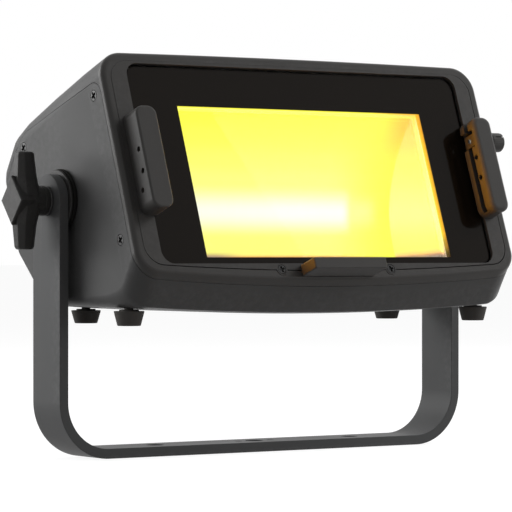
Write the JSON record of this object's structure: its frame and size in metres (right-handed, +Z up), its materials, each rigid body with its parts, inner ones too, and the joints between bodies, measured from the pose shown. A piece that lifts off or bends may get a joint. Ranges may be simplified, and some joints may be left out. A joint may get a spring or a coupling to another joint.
{
  "type": "stage floodlight",
  "caption": "Wall-washing stage floodlight with a leaned-back glass front, asymmetric reflector, filter holders with a spring latch, and a U-shaped yoke with clamp knobs",
  "frame": {"origin": "middle of the yoke bar's underside, on the axis of its clamp hole", "axes": "+X along the yoke bar to the side with the filter latch, -Y the way the light leaves, +Z up from the bar to the head"},
  "size_m": [0.4058, 0.2068, 0.2823],
  "materials": {
    "yoke_paint": "fine-textured dark grey powder coat",
    "housing_paint": "satin charcoal powder coat",
    "bezel_plastic": "fine-grained moulded plastic",
    "holder_plastic": "fine-grained moulded plastic",
    "knob_plastic": "black glass-filled nylon",
    "fibre": "pressed fibre friction disc",
    "black_steel": "black oxide steel",
    "steel": "zinc-plated steel",
    "rubber": "matt black rubber",
    "clear_glass": "clear toughened glass",
    "mask_print": "black printed border behind the glass",
    "display": "dark display window",
    "reflector_metal": "bright anodised reflector sheet",
    "aluminium": "plain extruded and cut aluminium",
    "circuit_board": "solder mask"
  },
  "bodies": {
    "yoke_body": {"yoke": "yoke_paint", "yoke_spacer_left": "knob_plastic", "yoke_spacer_right": "knob_plastic", "clamp_washer_left": "black_steel", "clamp_washer_right": "black_steel"},
    "head": {"lower_housing": "housing_paint", "top_cover": "housing_paint", "rear_panel": "housing_paint", "bezel_rim": "bezel_plastic", "bezel_frame": "bezel_plastic", "front_glass": "clear_glass", "glass_mask": "mask_print", "glass_gasket": "rubber", "front_bulkhead": "aluminium", "filter_holder_left": "holder_plastic", "filter_holder_right": "holder_plastic", "filter_holder_bottom": "holder_plastic", "latch_spring": "steel", "reflector": "reflector_metal", "reflector_end_left": "reflector_metal", "reflector_end_right": "reflector_metal", "led_board": "circuit_board", "heat_spreader": "aluminium", "heat_sink": "aluminium", "power_supply": "steel", "control_board": "circuit_board", "display_window": "display", "friction_disc_left": "fibre", "friction_disc_right": "fibre", "pivot_block_left": "aluminium", "pivot_block_right": "aluminium", "side_screw_left_upper_front": "black_steel", "side_screw_left_upper_rear": "black_steel", "side_screw_left_lower_front": "black_steel", "side_screw_right_upper_front": "black_steel", "side_screw_right_upper_rear": "black_steel", "side_screw_right_lower_front": "black_steel", "frame_screw_left": "black_steel", "frame_screw_right": "black_steel", "foot_front_left": "rubber", "foot_front_right": "rubber", "foot_rear_left": "rubber", "foot_rear_right": "rubber", "power_inlet": "knob_plastic", "power_outlet": "knob_plastic", "data_inlet": "knob_plastic", "data_outlet": "knob_plastic"},
    "knob_left": {"clamp_knob_left": "knob_plastic", "clamp_stud_left": "steel"},
    "knob_right": {"clamp_knob_right": "knob_plastic", "clamp_stud_right": "steel"},
    "latch": {"latch_block": "holder_plastic", "latch_knob": "knob_plastic"},
    "menu_button_1_body": {"menu_button_1": "rubber"},
    "menu_button_2_body": {"menu_button_2": "rubber"},
    "menu_button_3_body": {"menu_button_3": "rubber"},
    "menu_button_4_body": {"menu_button_4": "rubber"}
  },
  "joints": [
    {"name": "head_tilt", "type": "hinge", "parent": "yoke_body", "child": "head", "pos_m": [0, 0, 0.18], "axis": [1, 0, 0], "range_deg": [-180, 180]},
    {"name": "knob_left_turn", "type": "hinge", "parent": "yoke_body", "child": "knob_left", "pos_m": [-0.19, 0, 0.18], "axis": [-1, 0, 0], "range_deg": [-180, 180]},
    {"name": "knob_right_turn", "type": "hinge", "parent": "yoke_body", "child": "knob_right", "pos_m": [0.19, 0, 0.18], "axis": [1, 0, 0], "range_deg": [-180, 180]},
    {"name": "latch_pull", "type": "slide", "parent": "head", "child": "latch", "axis": [1, 0, 0], "range_m": [0, 0.0055], "stiffness_N_per_m": 800, "springref_m": -0.003},
    {"name": "menu_button_1_press", "type": "slide", "parent": "head", "child": "menu_button_1_body", "axis": [0, -0.9397, 0.342], "range_m": [0, 0.001], "stiffness_N_per_m": 300, "springref_m": -0.001},
    {"name": "menu_button_2_press", "type": "slide", "parent": "head", "child": "menu_button_2_body", "axis": [0, -0.9397, 0.342], "range_m": [0, 0.001], "stiffness_N_per_m": 300, "springref_m": -0.001},
    {"name": "menu_button_3_press", "type": "slide", "parent": "head", "child": "menu_button_3_body", "axis": [0, -0.9397, 0.342], "range_m": [0, 0.001], "stiffness_N_per_m": 300, "springref_m": -0.001},
    {"name": "menu_button_4_press", "type": "slide", "parent": "head", "child": "menu_button_4_body", "axis": [0, -0.9397, 0.342], "range_m": [0, 0.001], "stiffness_N_per_m": 300, "springref_m": -0.001}
  ]
}
